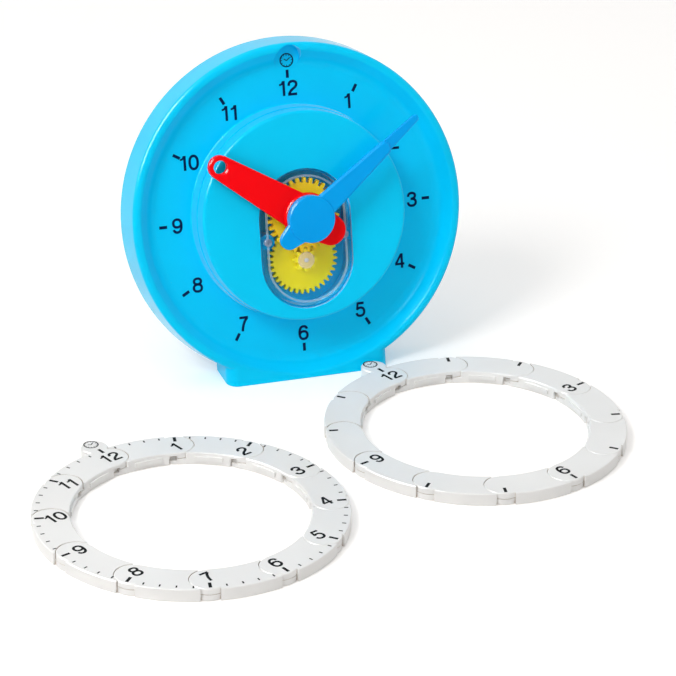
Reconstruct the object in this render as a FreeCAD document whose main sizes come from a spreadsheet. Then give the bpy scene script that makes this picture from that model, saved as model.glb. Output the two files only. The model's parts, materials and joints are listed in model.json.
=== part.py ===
"""Geared teaching clock with two number rings, as a parametric FreeCAD document.

The frame is in millimetres: +X to the clock's right seen from the front, +Y away from the
viewer, +Z up. The origin is the centre of the foot's flat underside. The clock leans back, so
its pieces are drawn in a dial frame (x right, y up the dial, z out of the dial, zero at the
dial's centre on the dial plane) and are then placed with one lean placement. The rings are
drawn flat, with z up from the surface that they lie on.
"""
import FreeCAD, Part
import math
import os
import re

import Sketcher
from FreeCAD import Placement, Rotation, Vector

os.makedirs("parts", exist_ok=True)
doc = FreeCAD.newDocument("TeachingClock")

X_AXIS = Vector(1, 0, 0)
Z_AXIS = Vector(0, 0, 1)
HOURS = 12
HOUR_ANGLE = 360 / HOURS

# ---------------------------------------------------------------------------------------------
# Driving dimensions: millimetres, degrees and counts
# ---------------------------------------------------------------------------------------------
SIZES = {
    # Stance and time shown
    "lean_angle": 14, "shown_hour": 10, "shown_minute": 8.67,
    # Case
    "case_wall": 2.4, "case_draft": 1.6, "case_depth_behind": 18.4,
    "rim_height": 9.2, "rim_width": 5, "rim_slope_width": 7.8, "rim_outer_round": 3,
    "rim_inner_round": 2.5, "dial_edge_round": 9,
    "boss_margin": 7.5, "boss_draft": 1.4, "boss_step_height": 10.4, "boss_step_width": 0.7,
    "boss_top_round": 2, "boss_base_round": 1,
    # Foot and heel
    "foot_half_width": 55.7, "foot_trim": 1.4, "foot_top_drop": 50, "foot_front_round": 7.5,
    "heel_side_inset": 13.7, "heel_reach": 27, "heel_height": 46, "heel_toe": 5,
    # Notch for the ring's tab
    "notch_shift": 0.3, "notch_gap": 0.5,
    # Rear cover and its screws
    "cover_thickness": 2.4, "cover_gap": 0.3, "case_screw_inset": 11.4, "case_post_radius": 4,
    # Window
    "window_wheel_room": 6, "window_gap": 0.3, "window_thickness": 2.5, "window_seat": 1.6,
    "ridge_inset": 4.1, "ridge_width": 1.4, "ridge_rise": 0.9,
    "window_screw_inset": 5.3, "window_post_radius": 5,
    # Gear plate
    "plate_front": 5, "plate_thickness": 2.5, "plate_margin": 0.8, "plate_post_radius": 3.8,
    "plate_screw_rise": 8,
    # Screws
    "screw_radius": 1.25, "screw_head_radius": 2.5, "screw_head_height": 1.4, "screw_length": 9,
    "screw_gap": 0.3, "recess_length": 2.8, "recess_width": 0.7, "recess_depth": 0.8,
    # Arbor, pipe and bearings
    "arbor_radius": 2.5, "running_gap": 0.05, "pipe_radius": 5.5, "end_gap": 0.3,
    "bush_wall": 2, "bush_flange_rise": 1, "bush_flange_width": 2.5, "arbor_tail": 1,
    "clip_thickness": 0.8, "clip_radius": 5, "groove_depth": 0.5,
    "spring_thickness": 0.5, "spring_rise": 2.3, "spring_radius": 6.5,
    "idler_pin_radius": 1.4, "idler_washer_radius": 5.6, "idler_washer_thickness": 0.6,
    "idler_pin_stand": 0.4, "idler_hub_radius": 5,
    # Gear train
    "wheel_width": 4, "fine_module": 1.25, "fine_pinion_teeth": 12, "fine_wheel_teeth": 36,
    "fine_shift": 0.2, "coarse_pinion_teeth": 8, "coarse_wheel_teeth": 32, "coarse_shift": 0.5,
    "coarse_pinion_tip": 0.85, "pressure_angle": 20, "tooth_play": 0.16, "root_clearance": 0.25,
    "plate_to_wheel": 2.3, "wheel_gap": 2.2, "wheel_headroom": 1.6, "pinion_overlap": 0.7,
    # Hour hand
    "hour_hand_stand": 3, "hour_hand_thickness": 4, "hour_hand_length": 69, "hour_tip_radius": 7.8,
    "hour_hub_radius": 12.9, "hour_tail_length": 17.8, "hour_tail_radius": 10,
    "hour_hole_radius": 4.5, "hour_hole_bevel": 0.7, "hour_collar_radius": 16.3,
    "hour_collar_rise": 1.5, "hour_boss_radius": 8.5, "hand_edge": 0.6,
    # Minute hand
    "minute_hub_radius": 15.5, "minute_hub_thickness": 6, "minute_hub_rise": 0.8, "hub_cap": 1.5,
    "minute_arm_thickness": 3.2, "minute_root_half_width": 8.5, "minute_arm_length": 66,
    "minute_end_radius": 4.8, "pointer_thickness": 1.7,
    "pointer_root_radius": 4.1, "pointer_tip_radius": 2.5, "pointer_length": 94.6,
    "minute_tail_length": 20, "minute_tail_radius": 6.2, "minute_tail_root": 11,
    # Number rings
    "ring_inner_room": 2.2, "ring_width": 23.6, "ring_outer_room": 2.5, "ring_height": 8,
    "ring_edge": 0.5,
    "layer_gap": 0.3, "link_gap": 0.3, "outer_gap_half": 6, "inner_relief_angle": 25, "relief_lap": 5,
    "peg_radius": 3, "peg_head_rise": 0.7, "peg_head_height": 0.8, "peg_floor": 0.6,
    "link_wall": 1.8, "bead_length": 18, "bead_height": 3, "bead_rise": 1.1, "bead_bottom": 2.6,
    "slot_length": 4.7, "slot_height": 3.7, "slot_depth": 3, "slot_offset": 2.8,
    "tab_reach": 4.8, "tab_radius": 8.5,
    # Where the rings lie, measured from the middle of the foot's front edge
    "minute_ring_left": 129.1, "minute_ring_front": 166.1,
    "hour_ring_right": 76.8, "hour_ring_front": 106.6, "ring_twelve_angle": 110.7,
}

sheet = doc.addObject("Spreadsheet::Sheet", "Sizes")
for row, (alias, amount) in enumerate(SIZES.items(), start=1):
    sheet.set(f"A{row}", alias)
    sheet.set(f"B{row}", str(amount))
    sheet.setAlias(f"B{row}", alias)
doc.recompute()

# Sizes that follow from the driving ones, each bound to the sheet
PLACES = {
    "axle_distance": "fine_module * (fine_pinion_teeth + fine_wheel_teeth) / 2",
    "coarse_module": "2 * axle_distance / (coarse_pinion_teeth + coarse_wheel_teeth)",
    "window_half_width": "coarse_module * (coarse_wheel_teeth / 2 + 1) + window_wheel_room",
    "ridge_half_width": "window_half_width - ridge_inset",
    "window_screw_spread": "window_half_width - window_screw_inset",
    "plate_screw_spread": "window_half_width + case_wall + plate_post_radius + plate_margin",
    "boss_top_radius": "axle_distance + window_half_width + boss_margin",
    "boss_base_radius": "boss_top_radius + boss_draft",
    "boss_foot_radius": "boss_base_radius + boss_step_width",
    "ring_inner_radius": "boss_foot_radius + ring_inner_room",
    "ring_outer_radius": "ring_inner_radius + ring_width",
    "dial_radius": "ring_outer_radius + ring_outer_room",
    "rim_inner_radius": "dial_radius + rim_slope_width",
    "case_front_radius": "rim_inner_radius + rim_width",
    "case_back_radius": "case_front_radius + case_draft",
    "cove_start": "dial_radius - dial_edge_round * tan(atan(rim_height / rim_slope_width) / 2)",
    "case_screw_circle": "dial_radius - case_screw_inset",
    "foot_height": "case_front_radius - foot_trim",
    "heel_half_width": "foot_half_width - heel_side_inset",
    "tab_centre_radius": "ring_outer_radius + tab_reach",
    "notch_centre_radius": "tab_centre_radius + notch_shift",
    "notch_radius": "tab_radius + notch_gap",
    "case_depth": "rim_height + case_depth_behind",
    "foot_depth": "case_depth / cos(lean)",
    "dial_centre_z": "foot_height * cos(lean) - rim_height * sin(lean)",
    "dial_centre_y": "foot_height * sin(lean) + rim_height * cos(lean) - foot_depth / 2",
    "plate_back": "plate_front - plate_thickness",
    "fine_wheel_back": "plate_front + plate_to_wheel",
    "coarse_wheel_back": "fine_wheel_back + wheel_width + wheel_gap",
    "coarse_wheel_front": "coarse_wheel_back + wheel_width",
    "boss_height": "coarse_wheel_front + wheel_headroom + window_thickness",
    "window_bottom": "boss_height - window_thickness",
    "window_screw_seat": "boss_height - screw_head_height",
    "case_screw_seat": "screw_head_height - case_depth_behind",
    "floor_line": "-dial_centre_z / cos(lean)",
    "fine_pinion_back": "fine_wheel_back - pinion_overlap",
    "fine_pinion_front": "fine_wheel_back + wheel_width + pinion_overlap",
    "hour_hand_back": "boss_height + bush_flange_rise + hour_hand_stand",
    "hour_hand_front": "hour_hand_back + hour_hand_thickness",
    "collar_front": "hour_hand_front + hour_collar_rise",
    "minute_hub_back": "collar_front + 2 * end_gap",
    "minute_hub_front": "minute_hub_back + minute_hub_thickness",
    "minute_arm_front": "minute_hub_front - minute_hub_rise",
    "minute_arm_back": "minute_arm_front - minute_arm_thickness",
    "minute_angle": "90 - 6 * shown_minute",
    "hour_angle": "90 - 30 * shown_hour - shown_minute / 2",
    "hinge_radius": "(ring_inner_radius + ring_outer_radius) / 2",
    "link_seat_radius": "(ring_outer_radius - ring_inner_radius) / 2",
    "tongue_radius": "link_seat_radius - link_gap",
    "layer_low": "(ring_height - layer_gap) / 2",
    "layer_high": "(ring_height + layer_gap) / 2",
}


def link(text):
    """Point each named size in an expression at the cell or place that holds it."""
    text = re.sub(r"\blean\b", "(lean_angle * 1deg)", text)

    def owner(match):
        word = match.group(0)
        if word in SIZES:
            return "Sizes." + word
        return "Places." + word if word in PLACES else word

    return re.sub(r"[a-z]\w*", owner, text)


places = doc.addObject("App::VarSet", "Places")
for alias in PLACES:
    places.addProperty("App::PropertyFloat", alias)
for alias, text in PLACES.items():
    places.setExpression(alias, link(text))
probe = doc.addObject("App::VarSet", "Probe")
probe.addProperty("App::PropertyFloat", "answer")
doc.recompute()


def size(text):
    """The number that an expression of named sizes has now."""
    probe.setExpression("answer", link(str(text)))
    probe.recompute()
    return probe.answer


# ---------------------------------------------------------------------------------------------
# Building blocks
# ---------------------------------------------------------------------------------------------
def place(thing, x="0", y="0", z="0", turn="0"):
    """Bind where a solid sits in its own frame: its base point and its turn about z."""
    thing.Placement = Placement(Vector(), Rotation(Z_AXIS, 1))
    for axis, text in zip("xyz", (x, y, z)):
        thing.setExpression(f"Placement.Base.{axis}", link(text))
    thing.setExpression("Placement.Rotation.Angle", link(turn))
    return thing


def solid(kind, **sizes):
    """A Part primitive with each size bound to an expression."""
    thing = doc.addObject("Part::" + kind, kind)
    for name, text in sizes.items():
        thing.setExpression(name, link(text))
    return thing


def cylinder(radius, low, high, x="0", y="0", turn="0", angle="360"):
    """A cylinder, or a pie slice of one, between two heights."""
    thing = solid("Cylinder", Radius=radius, Height=f"({high}) - ({low})", Angle=angle)
    return place(thing, x, y, low, turn)


def box(x_low, x_high, y_low, y_high, low, high):
    """A box between two corners."""
    thing = solid("Box", Length=f"({x_high}) - ({x_low})", Width=f"({y_high}) - ({y_low})",
                  Height=f"({high}) - ({low})")
    return place(thing, x_low, y_low, low)


def fuse(*things):
    """One solid made of several."""
    joined = doc.addObject("Part::MultiFuse", "Fuse")
    joined.Shapes = list(things)
    joined.Refine = True
    return joined


def common(one, other):
    """What two solids share."""
    shared = doc.addObject("Part::MultiCommon", "Common")
    shared.Shapes = [one, other]
    return shared


def cut(base, *tools):
    """A solid with others cut out of it."""
    result = doc.addObject("Part::Cut", "Cut")
    result.Base = base
    result.Tool = tools[0] if len(tools) == 1 else fuse(*tools)
    result.Refine = True
    return result


def sketch_on(body, role, points):
    """A closed outline of straight lines on an origin plane, each corner bound to the sheet."""
    sketch = body.newObject("Sketcher::SketchObject", "Outline")
    plane = next(f for f in body.Origin.OriginFeatures if f.Role == role)
    sketch.AttachmentSupport = [(plane, "")]
    sketch.MapMode = "FlatFace"
    corners = [Vector(size(x), size(y), 0) for x, y in points]
    count = len(corners)
    for i, corner in enumerate(corners):
        sketch.addGeometry(Part.LineSegment(corner, corners[(i + 1) % count]))
    for i in range(count):
        sketch.addConstraint(Sketcher.Constraint("Coincident", i, 2, (i + 1) % count, 1))
    for i, texts in enumerate(points):
        for kind, text, start, axis in (("DistanceX", texts[0], corners[i].x, -2),
                                        ("DistanceY", texts[1], corners[i].y, -1)):
            if text == "0":
                sketch.addConstraint(Sketcher.Constraint("PointOnObject", i, 1, axis))
                continue
            index = sketch.addConstraint(Sketcher.Constraint(kind, -1, 1, i, 1, start))
            sketch.setExpression(f"Constraints[{index}]", f"({link(text)}) * 1mm")
    return sketch


def turned(points, angle="360"):
    """A body turned about z from an outline of (radius, height) corners."""
    body = doc.addObject("PartDesign::Body", "Turned")
    sketch = sketch_on(body, "XZ_Plane", points)
    turn = body.newObject("PartDesign::Revolution", "Turn")
    turn.Profile = sketch
    turn.ReferenceAxis = (sketch, ["V_Axis"])
    turn.Midplane = True
    turn.setExpression("Angle", link(angle))
    doc.recompute()
    return body


def plate(points, low, high, role="XY_Plane"):
    """A body padded from an outline of corners on an origin plane, between two distances off it."""
    body = doc.addObject("PartDesign::Body", "Plate")
    sketch = sketch_on(body, role, points)
    sketch.setExpression("AttachmentOffset.Base.z", link(low))
    pad = body.newObject("PartDesign::Pad", "Pad")
    pad.Profile = sketch
    pad.setExpression("Length", link(f"({high}) - ({low})"))
    doc.recompute()
    return body


def round_edges(body, radius, chosen):
    """Round a body's chosen edges."""
    before = body.Tip
    names = [f"Edge{i}" for i, edge in enumerate(before.Shape.Edges, start=1) if chosen(edge)]
    fillet = body.newObject("PartDesign::Fillet", "Round")
    fillet.Base = (before, names)
    fillet.setExpression("Radius", link(radius))
    doc.recompute()
    return body


def circle_at(radius, height):
    """A test for the edge that runs round z at this radius and height."""
    wanted = (size(radius), size(height))

    def test(edge):
        curve = edge.Curve
        if curve.TypeId != "Part::GeomCircle":
            return False
        return abs(curve.Radius - wanted[0]) < 1e-4 and abs(curve.Center.z - wanted[1]) < 1e-4

    return test


def tapered_bar(start, start_radius, end, end_radius, low, high):
    """A bar along x with two round ends, each centred on its own x, joined by their tangents."""
    body = doc.addObject("PartDesign::Body", "Bar")
    sketch = body.newObject("Sketcher::SketchObject", "Outline")
    plane = next(f for f in body.Origin.OriginFeatures if f.Role == "XY_Plane")
    sketch.AttachmentSupport = [(plane, "")]
    sketch.MapMode = "FlatFace"
    sketch.setExpression("AttachmentOffset.Base.z", link(low))
    x1, r1, x2, r2 = (size(text) for text in (start, start_radius, end, end_radius))
    lean_out = math.acos((r1 - r2) / (x2 - x1))
    normals = [Vector(math.cos(a), math.sin(a), 0) for a in (lean_out, -lean_out)]
    near, far = Vector(x1, 0, 0), Vector(x2, 0, 0)
    upper, lower = ((near + n * r1, far + n * r2) for n in normals)
    sketch.addGeometry(Part.LineSegment(*upper))
    sketch.addGeometry(Part.ArcOfCircle(Part.Circle(far, Z_AXIS, r2), -lean_out, lean_out))
    sketch.addGeometry(Part.LineSegment(lower[1], lower[0]))
    sketch.addGeometry(Part.ArcOfCircle(Part.Circle(near, Z_AXIS, r1), lean_out,
                                        2 * math.pi - lean_out))
    for one, one_end, other, other_end in ((0, 2, 1, 2), (1, 1, 2, 1), (2, 2, 3, 2), (3, 1, 0, 1)):
        sketch.addConstraint(Sketcher.Constraint("Tangent", one, one_end, other, other_end))
    for arc, centre, centre_text, radius, radius_text in ((3, x1, start, r1, start_radius),
                                                          (1, x2, end, r2, end_radius)):
        sketch.addConstraint(Sketcher.Constraint("PointOnObject", arc, 3, -1))
        if centre_text == "0":
            sketch.addConstraint(Sketcher.Constraint("PointOnObject", arc, 3, -2))
        else:
            index = sketch.addConstraint(Sketcher.Constraint("DistanceX", -1, 1, arc, 3, centre))
            sketch.setExpression(f"Constraints[{index}]", f"({link(centre_text)}) * 1mm")
        index = sketch.addConstraint(Sketcher.Constraint("Radius", arc, radius))
        sketch.setExpression(f"Constraints[{index}]", f"({link(radius_text)}) * 1mm")
    pad = body.newObject("PartDesign::Pad", "Pad")
    pad.Profile = sketch
    pad.setExpression("Length", link(f"({high}) - ({low})"))
    doc.recompute()
    return body


def soften_front(body, width):
    """Chamfer the outline edges of a body's highest face."""
    before = body.Tip
    top = before.Shape.BoundBox.ZMax
    names = [f"Edge{i}" for i, edge in enumerate(before.Shape.Edges, start=1)
             if edge.BoundBox.ZMin > top - 1e-6]
    chamfer = body.newObject("PartDesign::Chamfer", "Soften")
    chamfer.Base = (before, names)
    chamfer.setExpression("Size", link(width))
    doc.recompute()
    return body


def stadium(half_width, low, high):
    """The outline round both wheel axles: two half rounds joined by straight sides."""
    return fuse(cylinder(half_width, low, high),
                cylinder(half_width, low, high, y="-axle_distance"),
                box(f"-({half_width})", half_width, "-axle_distance", "0", low, high))


def screw(x, y, seat, facing=1):
    """A cross-head screw at one place: the head stands on its seat, the shank goes below it."""
    head_top = f"({seat}) + {facing} * screw_head_height"
    shank_end = f"({seat}) - {facing} * screw_length"
    recess_end = f"({seat}) + {facing} * (screw_head_height - recess_depth)"
    low, high = (seat, head_top) if facing > 0 else (head_top, seat)
    head = cylinder("screw_head_radius", low, high, x, y)
    low, high = (shank_end, seat) if facing > 0 else (seat, shank_end)
    shank = cylinder("screw_radius", low, high, x, y)
    low, high = (recess_end, head_top) if facing > 0 else (head_top, recess_end)
    half, side = "recess_length / 2", "recess_width / 2"
    slots = [box(f"({x}) - {a}", f"({x}) + {a}", f"({y}) - {b}", f"({y}) + {b}", low, high)
             for a, b in ((half, side), (side, half))]
    return cut(fuse(head, shank), *slots)


def group(*things):
    """Several separate solids kept as one node."""
    row = doc.addObject("Part::Compound", "Group")
    row.Links = list(things)
    return row


LEAN = Placement(Vector(0, size("dial_centre_y"), size("dial_centre_z")),
                 Rotation(X_AXIS, size("90 - lean_angle")))
nodes = []


def node(name, thing, where=LEAN):
    """Name a finished sub-part and put it in its place."""
    thing.Label = name
    thing.Placement = where
    nodes.append(thing)
    return thing


def on_dial(angle):
    """The dial's placement, turned about the dial's axis."""
    return LEAN.multiply(Placement(Vector(), Rotation(Z_AXIS, size(angle))))


# ---------------------------------------------------------------------------------------------
# Case
# ---------------------------------------------------------------------------------------------
COVER_FRONT = "cover_thickness - case_depth_behind"
CREST = "case_front_radius - rim_outer_round"


def above_floor(height):
    """All the room above the surface that the clock stands on, raised by a height."""
    reach = 4 * size("case_back_radius")
    room = doc.addObject("Part::Box", "Room")
    for side in ("Length", "Width", "Height"):
        room.setExpression(side, link("8 * case_back_radius"))
    corner = Placement(Vector(-reach, -reach, size(height)), Rotation())
    room.Placement = LEAN.inverse().multiply(corner)
    return room


def foot_block(inset, front):
    """The foot as a block that stands down the dial, with its upright corners rounded."""
    half = f"foot_half_width - ({inset})"
    body = doc.addObject("PartDesign::Body", "Foot")
    block = body.newObject("PartDesign::AdditiveBox", "Block")
    block.AttachmentSupport = [(body.Origin.OriginFeatures[3], "")]
    block.MapMode = "FlatFace"
    for name, text in (("Length", f"2 * ({half})"), ("Width", "foot_height + rim_height - foot_top_drop"),
                       ("Height", f"case_depth_behind + {front}"),
                       ("AttachmentOffset.Base.x", f"-({half})"),
                       ("AttachmentOffset.Base.y", "-foot_height - rim_height"),
                       ("AttachmentOffset.Base.z", "-case_depth_behind")):
        block.setExpression(name, link(text))
    doc.recompute()
    front_z = size(front)
    return round_edges(body, f"foot_front_round - ({inset})",
                       lambda edge: abs(edge.BoundBox.ZMin - front_z) < 1e-4
                       and edge.BoundBox.YLength > edge.BoundBox.XLength)


# The outside of the front moulding: rim, dial and raised disc are turned, the foot is a block
outer_round = turned([
    ("0", "-case_depth_behind"), ("case_back_radius", "-case_depth_behind"),
    ("case_front_radius", "rim_height"), ("rim_inner_radius", "rim_height"),
    ("dial_radius", "0"), ("boss_foot_radius", "0"),
    ("boss_base_radius", "boss_step_height"),
    ("boss_base_radius - boss_step_width", "boss_step_height"),
    ("boss_top_radius", "boss_height"), ("0", "boss_height")])
for corner_round, corner_radius, corner_height in (
        ("rim_outer_round", "case_front_radius", "rim_height"),
        ("rim_inner_round", "rim_inner_radius", "rim_height"),
        ("dial_edge_round", "dial_radius", "0"),
        ("boss_base_round", "boss_foot_radius", "0"),
        ("boss_top_round", "boss_top_radius", "boss_height")):
    round_edges(outer_round, corner_round, circle_at(corner_radius, corner_height))
foot_outside = cut(foot_block("0", "rim_height"), cylinder(CREST, "-case_depth_behind - 1", "rim_height + 1"))
outside = common(fuse(outer_round, foot_outside), above_floor("0"))

# The hollow inside it, one wall thickness in
hollow_round = turned([
    ("0", "-case_depth_behind"), ("case_back_radius - case_wall", "-case_depth_behind"),
    ("case_front_radius - case_wall", "rim_height - 2 * case_wall"),
    ("rim_inner_radius + case_wall / 2", "rim_height - case_wall"),
    ("dial_radius + case_wall / 2", "-case_wall"),
    ("boss_base_radius - case_wall", "-case_wall"),
    ("boss_top_radius - case_wall", "boss_height - case_wall"), ("0", "boss_height - case_wall")])
foot_hollow = cut(foot_block("case_wall", "rim_height - case_wall"),
                  cylinder(CREST, "-case_depth_behind - 1", "rim_height + 1"))
hollow = common(fuse(hollow_round, foot_hollow), above_floor("case_wall"))

# The well behind the window, the posts that take screws, and the notch for a ring's tab
well = stadium("window_half_width + case_wall", "plate_front", "boss_height - case_wall / 2")
opening = fuse(stadium("window_half_width", "window_bottom", "boss_height + 1"),
               stadium("window_half_width - window_seat", "plate_front - 1", "boss_height"))
window_screws_at = [(f"{side} * window_screw_spread", "-axle_distance / 2") for side in (-1, 1)]
window_posts = [common(cylinder("window_post_radius", "plate_front", "window_bottom", x, y),
                       stadium("window_half_width", "plate_front", "window_bottom"))
                for x, y in window_screws_at]
plate_screws_at = [(f"{side} * plate_screw_spread", y) for side in (-1, 1)
                   for y in ("plate_screw_rise", "-axle_distance - plate_screw_rise")]
plate_posts = [cylinder("plate_post_radius", "plate_front", "boss_height - case_wall / 2", x, y)
               for x, y in plate_screws_at]
CASE_SCREW_ANGLES = (35, 90, 145, 215, 325)
case_screws_at = [(f"case_screw_circle * cos({angle}deg)", f"case_screw_circle * sin({angle}deg)")
                  for angle in CASE_SCREW_ANGLES]
case_posts = [cylinder("case_post_radius", COVER_FRONT, "-case_wall / 2", x, y)
              for x, y in case_screws_at]
pilots = []
for spots, mouth, end in (
        (window_screws_at, "window_bottom + 1", "window_screw_seat - screw_length - screw_gap"),
        (plate_screws_at, "plate_front - 1", "plate_back + screw_length + screw_gap"),
        (case_screws_at, "-case_depth_behind", "case_screw_seat + screw_length + screw_gap")):
    low, high = (end, mouth) if spots is window_screws_at else (mouth, end)
    pilots += [cylinder("screw_radius", low, high, x, y) for x, y in spots]
notch_cup = common(cylinder("notch_radius + case_wall", "-case_wall", "rim_height",
                            y="notch_centre_radius"), outer_round)
notch = cylinder("notch_radius", "0", "2 * rim_height", y="notch_centre_radius")
blank = fuse(cut(outside, hollow), well, notch_cup, *plate_posts, *case_posts)
moulding = cut(fuse(cut(blank, opening, notch), *window_posts), *pilots)

# The moulding is kept as three sub-parts that meet face to face on the flat of the dial
disc_edge = "boss_foot_radius + boss_base_round"
room_low, room_high = "-2 * case_depth_behind", "2 * boss_height"
disc_room = cylinder(disc_edge, room_low, room_high)
dial_room = cylinder("cove_start", room_low, room_high)
node("front_case_rim", cut(moulding, dial_room))
node("front_case_dial", common(moulding, cut(dial_room, disc_room)))
node("front_case_disc", common(moulding, disc_room))

# The rear cover closes the skirt and carries the heel that the clock leans back on
floor_at_back = "floor_line + case_depth_behind * tan(lean)"
heel_root = "-case_depth_behind + cover_thickness / 2"
cover_inset = "case_wall + cover_gap"


def heel(inset):
    """The heel's wedge across the cover, drawn in the plane of the lean, one inset further in."""
    reach, toe = f"heel_reach - 2 * ({inset})", f"heel_toe - ({inset}) / 2"
    start = f"{floor_at_back} + ({inset})"
    root_start = f"{start} + 2 * ({cover_inset})"
    top = f"{floor_at_back} + heel_height - 2 * ({inset})"
    points = [(start, "-case_depth_behind"),
              (f"{start} + ({reach}) * sin(lean)", f"-case_depth_behind - ({reach}) * cos(lean)"),
              (f"{start} + ({reach}) * sin(lean) + ({toe}) * cos(lean)",
               f"-case_depth_behind - ({reach}) * cos(lean) + ({toe}) * sin(lean)"),
              (top, "-case_depth_behind"), (top, heel_root), (root_start, heel_root),
              (root_start, "-case_depth_behind")]
    half = f"heel_half_width - ({inset})"
    return plate(points, f"-({half})", half, "YZ_Plane")


cover_round = cylinder(f"case_back_radius - ({cover_inset}) - cover_gap", "-case_depth_behind", COVER_FRONT)
cover_foot = box(f"{cover_inset} - foot_half_width", f"foot_half_width - ({cover_inset})",
                 "-foot_height", "-foot_top_drop", "-case_depth_behind", COVER_FRONT)
cover_plate = common(fuse(cover_round, cover_foot), above_floor(cover_inset))
heel_hollow = fuse(heel("case_wall"),
                   box("case_wall - heel_half_width", "heel_half_width - case_wall",
                       f"{floor_at_back} + 2 * case_wall",
                       f"{floor_at_back} + heel_height - 2 * case_wall", "-case_depth_behind - 1",
                       f"{COVER_FRONT} + 1"))
cover_holes = [cylinder("screw_radius + screw_gap", "-case_depth_behind - 1", f"{COVER_FRONT} + 1", x, y)
               for x, y in case_screws_at]
cover_holes += [cylinder("screw_head_radius + screw_gap", "-case_depth_behind - 1", "case_screw_seat", x, y)
                for x, y in case_screws_at]
heel_outside = common(heel("0"), above_floor("0"))
node("rear_cover", cut(fuse(cover_plate, heel_outside), heel_hollow, *cover_holes))
node("case_screws", group(*[screw(x, y, "case_screw_seat", -1) for x, y in case_screws_at]))

# ---------------------------------------------------------------------------------------------
# Window
# ---------------------------------------------------------------------------------------------
pane = stadium("window_half_width - window_gap", "window_bottom", "boss_height")
ridge = cut(stadium("ridge_half_width", "boss_height - ridge_rise", "boss_height + ridge_rise"),
            stadium("ridge_half_width - ridge_width", "boss_height - 1", "boss_height + 2 * ridge_rise"))
pane_holes = [cylinder("pipe_radius + bush_wall", "window_bottom - 1", "boss_height + 1")]
pane_holes += [cylinder("screw_radius + screw_gap", "window_bottom - 1", "boss_height", x, y)
               for x, y in window_screws_at]
pane_holes += [cylinder("screw_head_radius + screw_gap", "window_screw_seat", "boss_height + 2", x, y)
               for x, y in window_screws_at]
node("window", cut(fuse(pane, ridge), *pane_holes))
node("window_screws", group(*[screw(x, y, "window_screw_seat") for x, y in window_screws_at]))

# ---------------------------------------------------------------------------------------------
# Movement: gear plate, arbor, wheels and their bearings
# ---------------------------------------------------------------------------------------------
BARREL = "arbor_radius + running_gap + bush_wall"
lug = "plate_post_radius + plate_margin"
plate_lugs = [cylinder(lug, "plate_back", "plate_front", x, y) for x, y in plate_screws_at]
plate_lugs += [box("-plate_screw_spread", "plate_screw_spread", f"{y} - ({lug})", f"{y} + {lug}",
                   "plate_back", "plate_front") for x, y in plate_screws_at[:2]]
plate_blank = fuse(stadium("window_half_width + case_wall + plate_margin", "plate_back", "plate_front"),
                   *plate_lugs)
plate_holes = [cylinder(BARREL, "plate_back - 1", "plate_front + 1"),
               cylinder("idler_pin_radius", "plate_back - 1", "plate_front + 1", y="-axle_distance")]
plate_holes += [cylinder("screw_radius + screw_gap", "plate_back - 1", "plate_front + 1", x, y)
                for x, y in plate_screws_at]
node("gear_plate", cut(plate_blank, *plate_holes))
node("plate_screws", group(*[screw(x, y, "plate_back", -1) for x, y in plate_screws_at]))

bore = "arbor_radius + running_gap"
bush_back = "plate_back - bush_flange_rise"
node("arbor_bush", turned([
    (bore, bush_back), (f"{BARREL} + bush_flange_width", bush_back),
    (f"{BARREL} + bush_flange_width", "plate_back"), (BARREL, "plate_back"),
    (BARREL, "plate_front + end_gap"), (bore, "plate_front + end_gap")]))
pipe_bore, pipe_barrel = "pipe_radius + running_gap", "pipe_radius + bush_wall"
node("window_bush", turned([
    (pipe_bore, "coarse_wheel_front + end_gap"), (pipe_barrel, "coarse_wheel_front + end_gap"),
    (pipe_barrel, "boss_height"), (f"{pipe_barrel} + bush_flange_width", "boss_height"),
    (f"{pipe_barrel} + bush_flange_width", "boss_height + bush_flange_rise"),
    (pipe_bore, "boss_height + bush_flange_rise")]))

clip_front = f"{bush_back} - spring_rise"
clip_back = f"{clip_front} - clip_thickness"
neck = "arbor_radius - groove_depth"
arbor_front = "minute_hub_front - hub_cap"
arbor = turned([
    ("0", f"{clip_back} - arbor_tail"), ("arbor_radius", f"{clip_back} - arbor_tail"),
    ("arbor_radius", clip_back), (neck, clip_back), (neck, clip_front), ("arbor_radius", clip_front),
    ("arbor_radius", arbor_front), ("0", arbor_front)])
node("minute_arbor", arbor, on_dial("minute_angle"))
clip = cut(cylinder("clip_radius", clip_back, clip_front), cylinder(neck, f"{clip_back} - 1", bush_back),
           box("0", "2 * clip_radius", f"-({neck}) * 0.8", f"({neck}) * 0.8", f"{clip_back} - 1", bush_back))
node("retaining_clip", clip, on_dial("minute_angle"))
node("friction_spring", turned([
    ("arbor_radius + running_gap", clip_front), ("arbor_radius + end_gap + spring_thickness", clip_front),
    ("spring_radius", f"{bush_back} - spring_thickness"), ("spring_radius", bush_back),
    ("spring_radius - spring_thickness", bush_back),
    ("arbor_radius + running_gap", f"{clip_front} + spring_thickness")]), on_dial("minute_angle"))


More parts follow.
